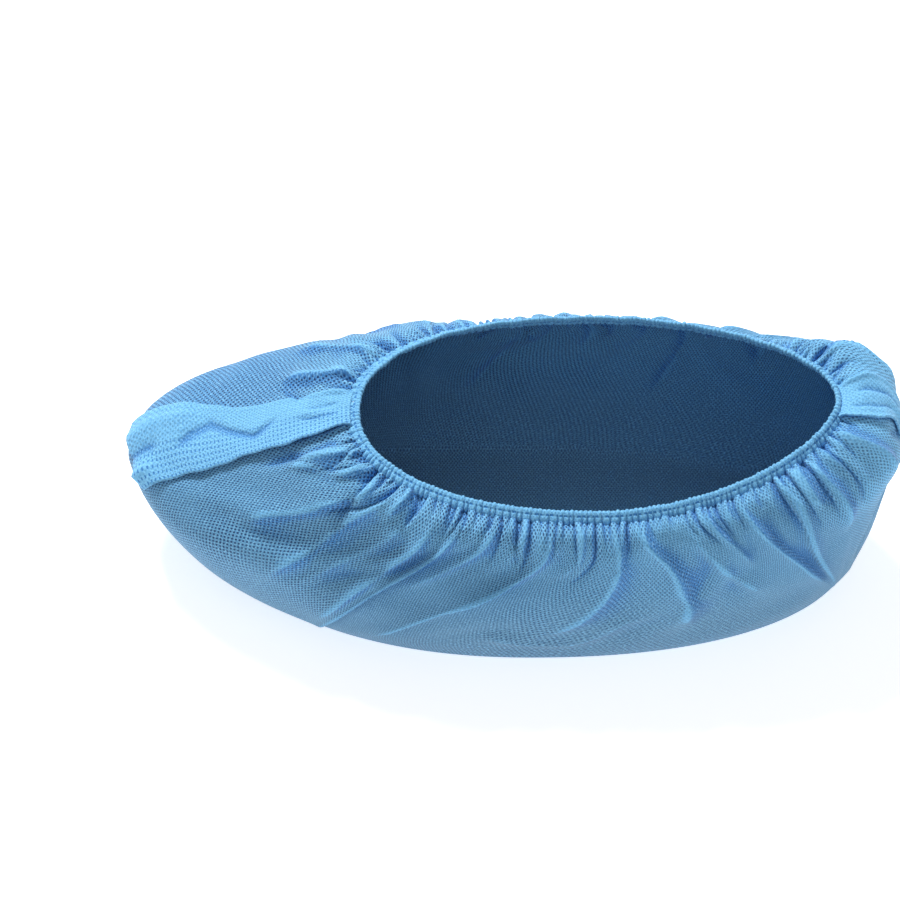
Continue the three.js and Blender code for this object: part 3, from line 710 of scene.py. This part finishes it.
def make_sheet():
    gathered = np.linspace(0, GATHERED_TO, GATHERED_ROWS, endpoint=False)
    upper = np.concatenate([gathered, np.linspace(GATHERED_TO, UPPER_TO, UPPER_ROWS)])
    lower = np.linspace(UPPER_TO, 1, LOWER_ROWS + 1)[1:]
    bands = [side_rows(upper, COLUMNS), side_rows(lower, COLUMNS // 2)]
    rows = [(row, place, lift) for band in bands for row, place, lift in zip(*band)]
    foot = rows[-1][0][::SOLE_STEP]
    mirror = foot[(-np.arange(len(foot))) % len(foot)]
    spine = (foot + mirror) / 2
    for share in SOLE_RINGS:
        ring = spine + (foot - spine) * share
        ring[:, 2] = CLOTH_THICKNESS / 2
        rows.append((ring, ring[:, :2], np.zeros((len(ring), 2))))
    starts = np.concatenate([[0], np.cumsum([len(row[0]) for row in rows])])
    faces = []
    uvs = []
    for j, (upper_row, lower_row) in enumerate(zip(rows, rows[1:])):
        finer = len(upper_row[0]) // len(lower_row[0])
        count = len(lower_row[0])
        on_sole = len(lower_row[0]) == len(foot)
        for i in range(count):
            n = (i + 1) % count
            above = [(i * finer + k) % len(upper_row[0]) for k in range(finer, -1, -1)]
            faces.append([starts[j + 1] + i, starts[j + 1] + n] + [starts[j] + k for k in above])
            if on_sole:
                uvs += [lower_row[0][i, :2], lower_row[0][n, :2]] + [upper_row[0][k, :2] for k in above]
            else:
                wrap = np.array([FLAT_GIRTH if n == 0 else 0, 0])
                uvs += [lower_row[1][i], lower_row[1][n] + wrap]
                uvs += [upper_row[1][k] + (wrap if k < above[-1] else 0) for k in above]
    last = starts[-2]
    count = len(rows[-1][0])
    half = count // 2
    for i in range(half):
        a, b, c, d = (count - i) % count, (count - i - 1) % count, i + 1, i
        corners = [a, b, c, d] if i else [count - 1, 1, 0]
        faces.append([last + k for k in corners])
        uvs += [rows[-1][0][k, :2] for k in corners]
    points = np.concatenate([row[0] for row in rows])
    sheet = mesh_object("cover_cloth", points, faces, uvs, np.concatenate([row[2] for row in rows]))
    thicken(sheet, CLOTH_THICKNESS)
    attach(sheet, "root")
    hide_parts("sheet")
    return sheet


# The hem's section: down is the way below its top edge, as a share of its height; thick is half its
# thickness in millimetres; bead and crease are how much of that is lost between the small beads of
# the upper row and in the creases of the lower one.
HEM_SECTION = [
    dict(down=0, thick=0.3, bead=0.3, crease=0),
    dict(down=0.06, thick=0.8, bead=0.42, crease=0.1),
    dict(down=0.16, thick=1.2, bead=0.45, crease=0.2),
    dict(down=0.27, thick=1.25, bead=0.36, crease=0.2),
    dict(down=0.35, thick=1.05, bead=0.1, crease=0.12),
    dict(down=0.39, thick=0.92, bead=0, crease=0.06),
    dict(down=0.43, thick=0.98, bead=0.08, crease=0.2),
    dict(down=0.52, thick=1.3, bead=0.12, crease=0.5),
    dict(down=0.66, thick=1.5, bead=0.1, crease=0.62),
    dict(down=0.82, thick=1.3, bead=0.08, crease=0.7),
    dict(down=0.94, thick=0.85, bead=0, crease=0.7),
    dict(down=1, thick=0.4, bead=0, crease=0.6),
]
# How far the beads stand up and the creases cut up into the hem's lower edge
HEM_SCALLOP = 0.5 * MM
# How unevenly the hem runs, in millimetres, by how often that repeats round it
HEM_WAVES = [dict(count=23, high=0.14, phase=0), dict(count=41, high=0.1, phase=1)]
# The size from which the hem counts as standing out, and how much. Thinner places, between the beads and
# in the creases, get painted shade from it
HEM_LEVEL = 0.85
HEM_RELIEF = 1.6


def waves(rows, at):
    return sum(row["high"] * np.sin(row["count"] * at + row["phase"]) for row in rows)


def make_hem():
    columns = BEADS * BEAD_COLUMNS
    rim, hem_down, hem_face, _ = rim_frame(columns)
    around = np.arange(columns) / columns
    random = np.random.default_rng(7)
    sizes = random.uniform(0.35, 1.3, BEADS)
    which = np.arange(columns) // BEAD_COLUMNS
    bead = np.sin(np.pi * (np.arange(columns) % BEAD_COLUMNS) / BEAD_COLUMNS) ** 0.7 * sizes[which]
    crease = crease_hollow(around)
    outer = [(row["down"], row["thick"], row["bead"], row["crease"]) for row in HEM_SECTION]
    inner = [(down, -thick, lost, cut * 0.6) for down, thick, lost, cut in reversed(outer)]
    rings = []
    places = []
    relief = []
    wave = waves(HEM_WAVES, 2 * np.pi * around) * MM
    along = around * RIM_GIRTH + crease_share(around) * (FLAT_GIRTH - RIM_GIRTH)
    for down, thick, lost, cut in outer + inner:
        size = 1 - lost * (1 - bead) - cut * crease
        top = HEM_SCALLOP * (bead - 0.6) * (1 - smooth(down / 0.3))
        foot = HEM_SCALLOP * (0.6 - 1.6 * crease) * smooth((down - 0.75) / 0.25)
        below = down * HEM_HEIGHT - top + foot
        out = thick * MM * size + wave
        rings.append(rim + hem_down * below[:, None] + hem_face * out[:, None] + ORIGIN)
        places.append(np.stack([along, np.full(columns, down * HEM_HEIGHT)], axis=-1))
        relief.append(np.stack([(size - HEM_LEVEL) * HEM_RELIEF, np.zeros(columns)], axis=-1))
    count = len(rings)
    points = np.concatenate(rings)
    faces = []
    uvs = []
    for j in range(count):
        k = (j + 1) % count
        for i in range(columns):
            n = (i + 1) % columns
            faces.append([j * columns + i, k * columns + i, k * columns + n, j * columns + n])
            wrap = np.array([FLAT_GIRTH if n == 0 else 0, 0])
            uvs += [places[j][i], places[k][i], places[k][n] + wrap, places[j][n] + wrap]
    hem = mesh_object("gathered_hem", points, faces, uvs, np.concatenate(relief))
    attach(hem, "root")
    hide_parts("hem")
    return hem


# Folds pressed into the toe's seam allowance. The places are shares of the way across it, from its
# seam to its free edge, and shares of the way down the cloth.
TOE_FLAP_FOLDS = [
    dict(path=[(0.2, 0.74), (0.2, 0.62), (0.18, 0.54)], high=1.1, wide=3.4, steep=1.2),
    dict(path=[(0.5, 0.74), (0.48, 0.62), (0.44, 0.53)], high=-1.4, wide=2.6, steep=1.2),
    dict(path=[(0.78, 0.74), (0.77, 0.63), (0.72, 0.56)], high=2.8, wide=3.2, steep=1.2),
    dict(path=[(0.66, 0.52), (0.4, 0.46), (0.26, 0.4), (0.37, 0.35), (0.6, 0.27), (0.51, 0.24),
               (0.26, 0.17)], high=-1.6, wide=2.2, steep=2),
    dict(path=[(0.16, 0.6), (0.2, 0.5), (0.1, 0.4)], high=0.8, wide=2, steep=1.5),
    dict(path=[(0.62, 0.02), (0.6, 0.1), (0.5, 0.16)], high=-1, wide=1.4, steep=1.6),
    dict(path=[(0.3, 0.02), (0.34, 0.08), (0.3, 0.14)], high=-0.8, wide=1.4, steep=1.6),
]
HEEL_FLAP_FOLDS = [
    dict(path=[(0.3, 0.03), (0.35, 0.12), (0.4, 0.24), (0.4, 0.4)], high=-1.1, wide=1.6, steep=1.8),
    dict(path=[(0.66, 0.02), (0.7, 0.12), (0.72, 0.26)], high=-0.9, wide=1.4, steep=1.6),
]


# How finely the allowances are cut, how unevenly their free edge runs, as a share of the way round the
# cover, how high that edge waves, how late it curls up across the allowance, and what it stays clear by
FLAP_CUTS = (120, 32)
FLAP_WOBBLE = [dict(count=31, high=0.0004, phase=2), dict(count=71, high=0.0003, phase=1)]
FLAP_WAVE = [dict(count=43, high=0.25 * MM, phase=0.5)]
FLAP_CURL = 2.5
FLAP_CLEAR = 0.05 * MM


def make_flap(name, rows, node, folds, flat):
    """A seam allowance: two sheets welded together, which lie on the cloth."""
    along, across = FLAP_CUTS
    down = np.linspace(rows[0]["down"], rows[-1]["down"], along)
    share = np.linspace(0, 1, across)
    seam = flap_column(rows, "seam", down)
    turn = flap_column(rows, "free", down) - seam
    turn -= np.round(turn)
    wobble = waves(FLAP_WOBBLE, down)
    around = seam[:, None] + turn[:, None] * share + wobble[:, None] * share**2
    deep = np.broadcast_to(down[:, None], around.shape)
    ends = flap_column(rows, "seam_lift", down)[:, None], flap_column(rows, "lift", down)[:, None]
    curl = share**FLAP_CURL
    lift = (ends[0] * (1 - curl) + ends[1] * curl) * MM + waves(FLAP_WAVE, down)[:, None] * share
    pressed = np.zeros(around.shape)
    for fold in folds:
        pressed = pressed + fold_height(fold, share + 0 * around, deep, flat[1], FOLD_DEPTH)
    points = form.at(around, deep, cloth_height(around, deep) + np.maximum(lift + pressed, FLAP_CLEAR))
    places = np.stack([share * flat[1] + 0 * around, form.depth(around, deep)], axis=-1)
    faces = []
    uvs = []
    for j in range(along - 1):
        for i in range(across - 1):
            ring = [(j, i), (j + 1, i), (j + 1, i + 1), (j, i + 1)]
            if turn[0] < 0:
                ring.reverse()
            faces.append([a * across + b for a, b in ring])
            uvs += [places[a, b] for a, b in ring]
    # How far the pressed folds stand out, from which the finish paints shade in their hollows and
    # highlights on their crests
    stands = np.stack([pressed / MM, np.zeros(around.shape)], axis=-1).reshape(-1, 2)
    flap = mesh_object(name, points.reshape(-1, 3), faces, uvs, stands)
    thicken(flap, DOUBLED_THICKNESS)
    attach(flap, "root")
    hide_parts(node)
    return flap


sheet = make_sheet()
hem = make_hem()
toe_flap = make_flap("toe_flap", TOE_FLAP, "toe_seam_flap", TOE_FLAP_FOLDS, (0.085, 0.024))
heel_flap = make_flap("heel_flap", HEEL_FLAP, "heel_seam_flap", HEEL_FLAP_FOLDS, (0.05, 0.016))


class Wire:
    """A number that changes over a surface. Sums with it are written as plain Python."""

    def __init__(self, graph, socket):
        self.graph = graph
        self.socket = socket

    def math(self, operation, *values):
        return self.graph.node("ShaderNodeMath", {"operation": operation}, dict(enumerate(values)))

    def __add__(self, other):
        return self.math("ADD", self, other)

    def __sub__(self, other):
        return self.math("SUBTRACT", self, other)

    def __mul__(self, other):
        return self.math("MULTIPLY", self, other)

    def __rsub__(self, other):
        return self.math("SUBTRACT", other, self)

    __radd__ = __add__
    __rmul__ = __mul__


class Graph:
    """The nodes of one material."""

    def __init__(self, name):
        self.material = bpy.data.materials.new(name)
        self.material.use_nodes = True
        self.tree = self.material.node_tree
        self.shader = self.tree.nodes["Principled BSDF"]

    def put(self, socket, value):
        if isinstance(value, Wire):
            self.tree.links.new(value.socket, socket)
        else:
            socket.default_value = value

    def node(self, kind, settings, inputs, out=0):
        """Adds a node: its settings first, then the values or links of its sockets."""
        node = self.tree.nodes.new(kind)
        for name, value in settings.items():
            setattr(node, name, value)
        for name, value in inputs.items():
            self.put(node.inputs[name], value)
        return Wire(self, node.outputs[out])

    def cosine(self, value, pitch):
        turn = value * (2 * math.pi / pitch)
        return turn.math("COSINE", turn)

    def step(self, value, low, high):
        """A smooth step from 0 at low to 1 at high."""
        settings = {"interpolation_type": "SMOOTHSTEP"}
        inputs = {"Value": value, "From Min": low, "From Max": high}
        return self.node("ShaderNodeMapRange", settings, inputs)

    def noise(self, place, scale, detail=2):
        return self.node("ShaderNodeTexNoise", {}, {"Vector": place, "Scale": scale, "Detail": detail})

    def parts(self, place):
        """The three parts of a place."""
        return [self.node("ShaderNodeSeparateXYZ", {}, {"Vector": place}, out=k) for k in range(3)]

    def mark(self, name):
        """A value kept at each point of the mesh."""
        return self.node("ShaderNodeAttribute", {"attribute_name": name}, {}, out=2)

    def mix(self, factor, first, second):
        return self.node("ShaderNodeMix", {"data_type": "RGBA"}, {0: factor, 6: first, 7: second}, out=2)


# Colours, as linear shares of red, green and blue
SINGLE_BLUE = (0.11, 0.31, 0.52, 1)
# The cloth where it is doubled, also used for painted highlights on crests and on the heel's puff
DOUBLED_AND_HIGHLIGHT_BLUE = (0.17, 0.48, 0.78, 1)
LOW_BLUE = (0.135, 0.295, 0.455, 1)
# The next two colours are painted shade, higher up and near the sole; the first also darkens fibres and
# weld dashes
DEEP_BLUE = (0.03, 0.18, 0.5, 1)
LOW_DEEP_BLUE = (0.06, 0.17, 0.34, 1)
DOT_BLUE = (0.012, 0.045, 0.14, 1)
FIBRE_BLUE = (0.3, 0.68, 1, 1)

# The lattice of bonded spots, which lie in staggered rows, and the dashes of the welds
SPOT_PITCH = 1.37 * MM
SPOT_ROWS = 2.2 * MM
WELD_PITCH = 1.7 * MM
WELD_ROWS = 2.3 * MM
HEM_DASH_PITCH = 2.75 * MM


def unevenness(g, uv):
    """A small random change from place to place, so that no two spots or dashes are alike."""
    return (g.noise(uv, 800, 1) - 0.5) * 0.5


def weld_rows(g, uv):
    """Rows of dashes along a welded seam: where they are, how strongly they show and how deep."""
    u, v, _ = g.parts(uv)
    dash = g.step(g.cosine(v, WELD_PITCH), 0.1, 0.7) * g.step(g.cosine(u, WELD_ROWS), -0.1, 0.5)
    return dash, g.step(u, 0.009, 0.013) * 0.75 + 0.1, 0.15


def hem_weld(g, uv):
    """One line of dashes below the hem's top edge."""
    u, v, _ = g.parts(uv)
    off = v - HEM_WELD + (g.noise(uv, 400, 1) - 0.5) * (0.5 * MM)
    line = g.step(off, -0.6 * MM, -0.25 * MM) * g.step(off, 0.6 * MM, 0.25 * MM)
    return line * g.step(g.cosine(u, HEM_DASH_PITCH) + unevenness(g, uv), -0.3, 0.4), 0.85, 0.2


def cloth_finish(name, plain, low, spots, weld=None):
    """Non-woven cloth: a lattice of thin bonded spots in a mat of fibres. spots is how strongly the spots
    show, low is the colour near the sole, and weld a function that adds a weld's marks."""
    g = Graph(name)
    uv = g.node("ShaderNodeUVMap", {"uv_map": "cloth"}, {})
    u, v, _ = g.parts(uv)
    place = g.node("ShaderNodeTexCoord", {}, {}, out=3)
    x, y, height = g.parts(place)
    fibres = g.noise(uv, 1500, 3)
    lattice = g.cosine(u, SPOT_PITCH) * g.cosine(v, SPOT_ROWS)
    spot = g.step(lattice + unevenness(g, uv), 0.08, 0.52)
    patches = g.noise(place, 55, 3)
    creases = g.noise(place, 240, 2)
    stands_out = g.mark("stands_out")
    falls = g.mark("falls")
    below = g.step(height + (patches - 0.5) * 0.02, 0.052, 0.012)
    ridge = g.step(stands_out, 0.4, 1.15)
    shade = g.mix(below, DEEP_BLUE, LOW_DEEP_BLUE)
    # Painted highlights: paler on crests, and on the top of the heel's puff, where the cloth stands off
    # the foot
    colour = g.mix(below, plain, low)
    colour = g.mix(ridge * 0.7, colour, DOUBLED_AND_HIGHLIGHT_BLUE)
    colour = g.mix(g.step(x, 0.11, 0.138) * g.step(height, 0.052, 0.072) * 0.95, colour, DOUBLED_AND_HIGHLIGHT_BLUE)
    # Deeper at the toe's inner side, and paler near the hem
    colour = g.mix(g.step(x, -0.07, -0.1) * g.step(y, 0, 0.022) * 0.3 * spots, colour, shade)
    colour = g.mix(g.step(v, 0.032, 0.006) * 0.4, colour, DOUBLED_AND_HIGHLIGHT_BLUE)
    # Painted shade in hollows and on slopes that fall towards the heel, with fibres and bonded spots over
    # all of it
    colour = g.mix(g.step(stands_out, -0.2, -1.0) * 0.75, colour, shade)
    colour = g.mix(g.step(falls, 0.1, 0.55) * 0.8, colour, shade)
    colour = g.mix(g.step(fibres, 0.45, 0.66) * 0.5, colour, FIBRE_BLUE)
    colour = g.mix(g.step(fibres, 0.5, 0.3) * 0.4, colour, DEEP_BLUE)
    toe = g.step(x, 0.07, -0.03) * 0.25 + 0.75
    strength = spots * toe * (patches * 0.8 + 0.55) * (1 - ridge * 0.6) * (1 - below * 0.35)
    colour = g.mix(spot * strength, colour, DOT_BLUE)
    relief = (0 - spot) * 0.09
    if weld:
        dash, shows, deep = weld(g, uv)
        colour = g.mix(dash * shows, colour, DEEP_BLUE)
        relief = relief - dash * deep
    relief = relief + fibres * 0.06 + creases * 0.35
    bump = g.node("ShaderNodeBump", {}, {"Height": relief * MM, "Distance": 1.0, "Strength": 0.8})
    g.put(g.shader.inputs["Base Color"], colour)
    g.put(g.shader.inputs["Normal"], bump)
    g.put(g.shader.inputs["Roughness"], g.step(fibres, 0, 1) * 0.1 + 0.72)
    g.shader.inputs["Specular IOR Level"].default_value = 0.25
    g.shader.inputs["Sheen Weight"].default_value = 0.1
    return g.material


def plain_finish(name, colour, roughness, glow=0):
    """A plain surface with a fine grain. glow makes a studio floor as bright as its lit backdrop."""
    g = Graph(name)
    place = g.node("ShaderNodeTexCoord", {}, {}, out=3)
    grain = g.noise(place, 900, 3)
    darker = tuple(0.8 * c for c in colour[:3]) + (1,)
    g.put(g.shader.inputs["Base Color"], g.mix(grain * 0.3, colour, darker))
    g.put(g.shader.inputs["Roughness"], roughness)
    g.shader.inputs["Emission Color"].default_value = (1, 1, 1, 1)
    g.shader.inputs["Emission Strength"].default_value = glow
    return g.material


sheet.data.materials.append(cloth_finish("non_woven_cloth", SINGLE_BLUE, LOW_BLUE, 1))
hem.data.materials.append(cloth_finish("gathered_hem_cloth", DOUBLED_AND_HIGHLIGHT_BLUE, DOUBLED_AND_HIGHLIGHT_BLUE, 0.25, hem_weld))
toe_flap.data.materials.append(cloth_finish("toe_flap_cloth", DOUBLED_AND_HIGHLIGHT_BLUE, DOUBLED_AND_HIGHLIGHT_BLUE, 0.35, weld_rows))
heel_flap.data.materials.append(cloth_finish("heel_flap_cloth", DOUBLED_AND_HIGHLIGHT_BLUE, DOUBLED_AND_HIGHLIGHT_BLUE, 0.35))
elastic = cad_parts["elastic"]
elastic.data.materials.clear()
elastic.data.materials.append(plain_finish("elastic_rubber", (0.8, 0.76, 0.66, 1), 0.6))


FLOOR_SIZE = 8


def make_floor():
    bpy.ops.object.select_all(action="DESELECT")
    bpy.ops.mesh.primitive_plane_add(size=FLOOR_SIZE, location=(0, 0, 0))
    floor = bpy.context.object
    floor.name = "floor"
    floor.data.materials.append(plain_finish("pale_floor", (0.93, 0.93, 0.93, 1), 0.8, 0.6))


make_floor()

# The lights: name, place, size and power in watts. They point at the middle of the cover.
WORLD_LIGHT = 0.42
LIT_PLACE = Vector((0, 0, 40 * MM))
LAMPS = [
    dict(name="key", place=(-0.7, 1.75, 2.6), size=0.7, power=115),
    dict(name="fill", place=(1.2, -2.4, 2.2), size=2.8, power=8),
]


def make_lights():
    world = bpy.data.worlds.new("studio")
    bpy.context.scene.world = world
    world.use_nodes = True
    world.node_tree.nodes["Background"].inputs["Color"].default_value = (1, 1, 1, 1)
    world.node_tree.nodes["Background"].inputs["Strength"].default_value = WORLD_LIGHT
    for lamp in LAMPS:
        data = bpy.data.lights.new(lamp["name"], "AREA")
        data.size = lamp["size"]
        data.energy = lamp["power"]
        light = bpy.data.objects.new(lamp["name"], data)
        light.location = lamp["place"]
        light.rotation_euler = (LIT_PLACE - light.location).to_track_quat("-Z", "Y").to_euler()
        bpy.context.scene.collection.objects.link(light)


make_lights()
bpy.context.scene.view_settings.view_transform = "Standard"
